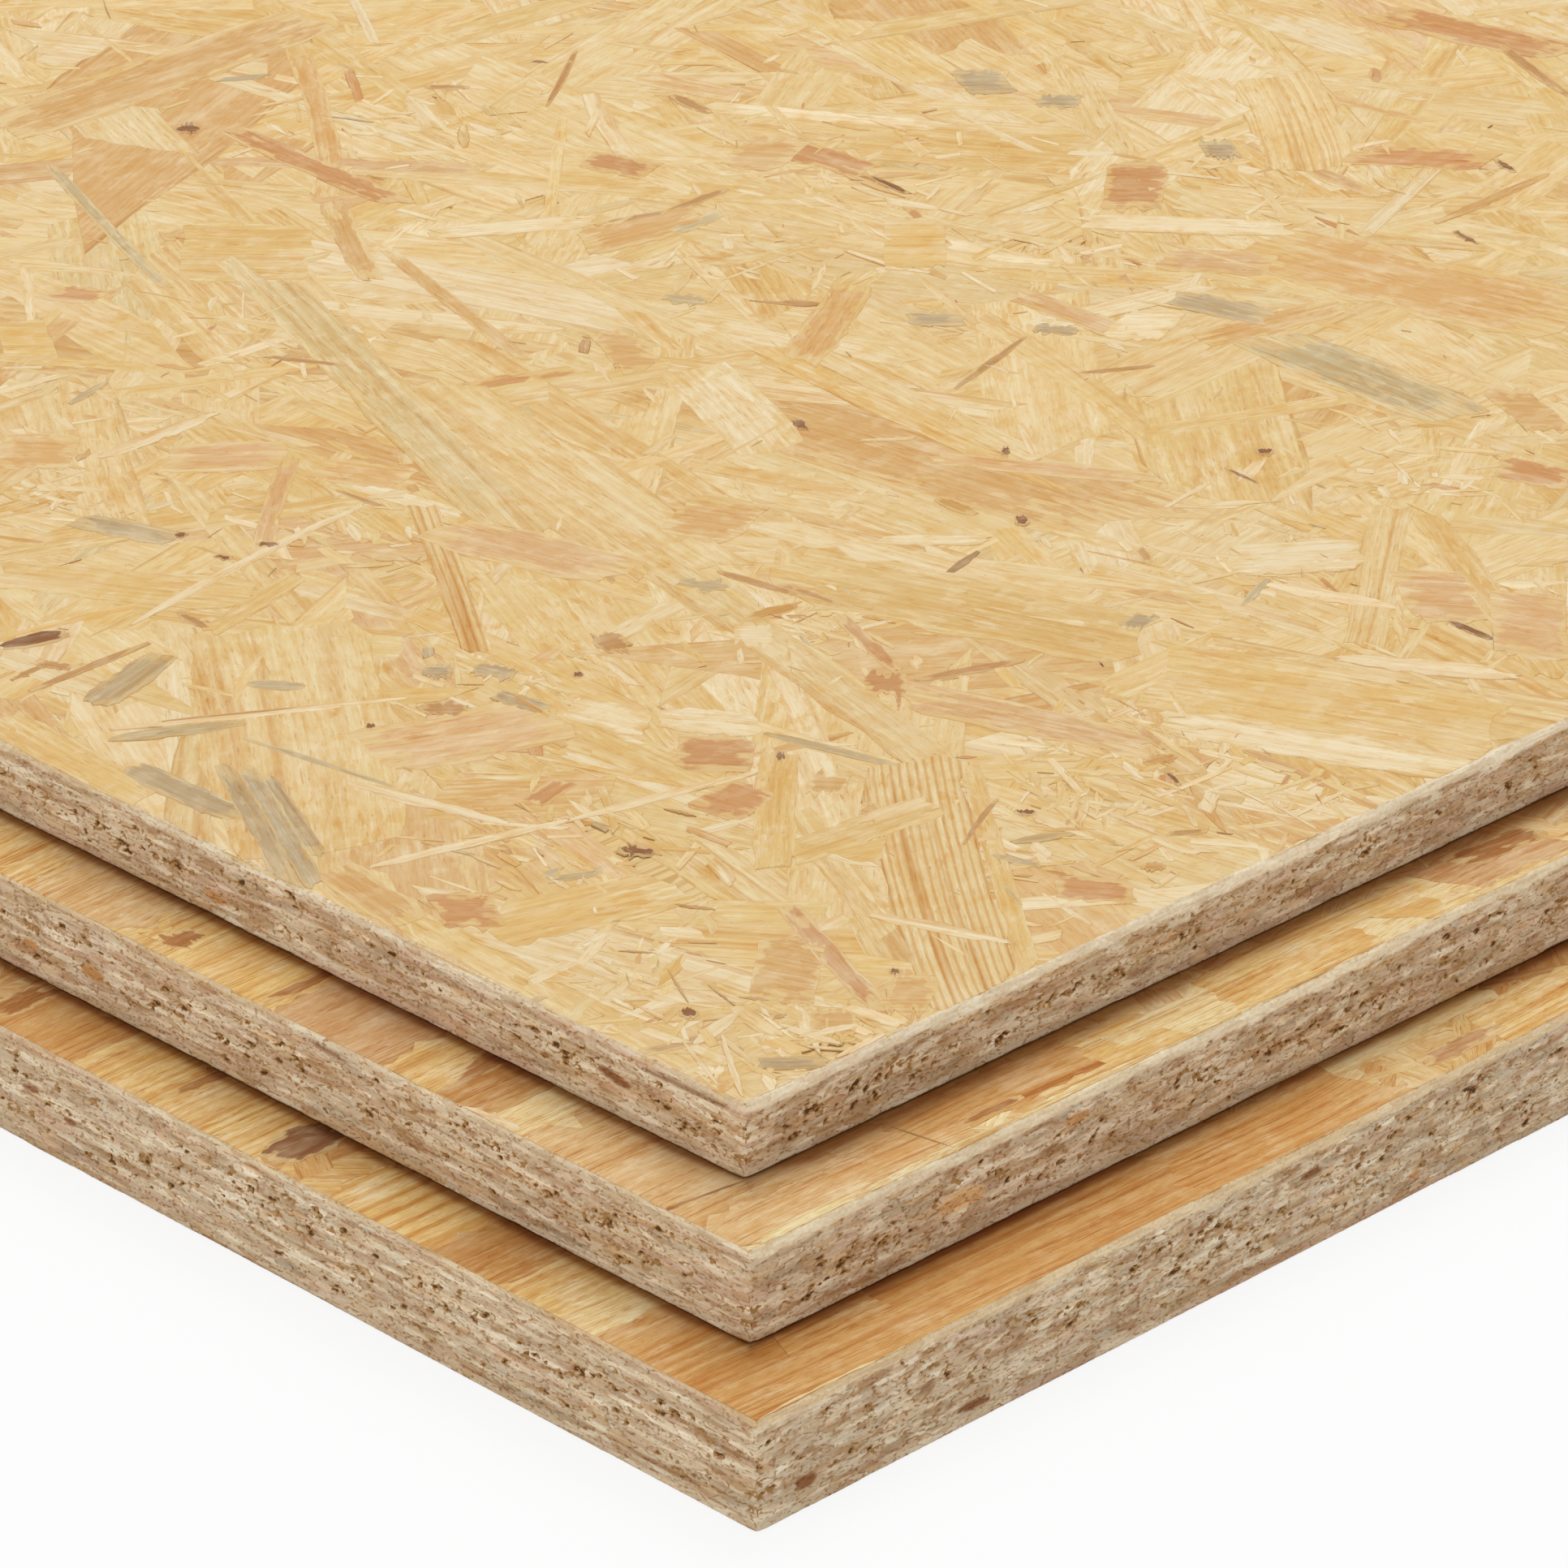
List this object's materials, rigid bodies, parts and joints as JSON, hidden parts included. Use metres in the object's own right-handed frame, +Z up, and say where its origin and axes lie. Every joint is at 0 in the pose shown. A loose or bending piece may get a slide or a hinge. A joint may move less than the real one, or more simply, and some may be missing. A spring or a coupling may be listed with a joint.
{
  "type": "stack of osb panels",
  "caption": "Flat stack of oriented strand board panels in rising thicknesses, each set back at one corner so its sawn edges show as steps; raw sheet stock for building.",
  "frame": {"origin": "on the floor, in the middle of the footprint of the whole stack", "axes": "+Z up through the stack, +X along the panels' length away from the stepped corner, +Y across the panels away from the stepped corner"},
  "size_m": [1.278, 0.656, 0.045],
  "materials": {
    "osb": "matte"
  },
  "bodies": {
    "root": {"top_panel": "osb", "middle_panel": "osb", "bottom_panel": "osb"}
  },
  "joints": []
}
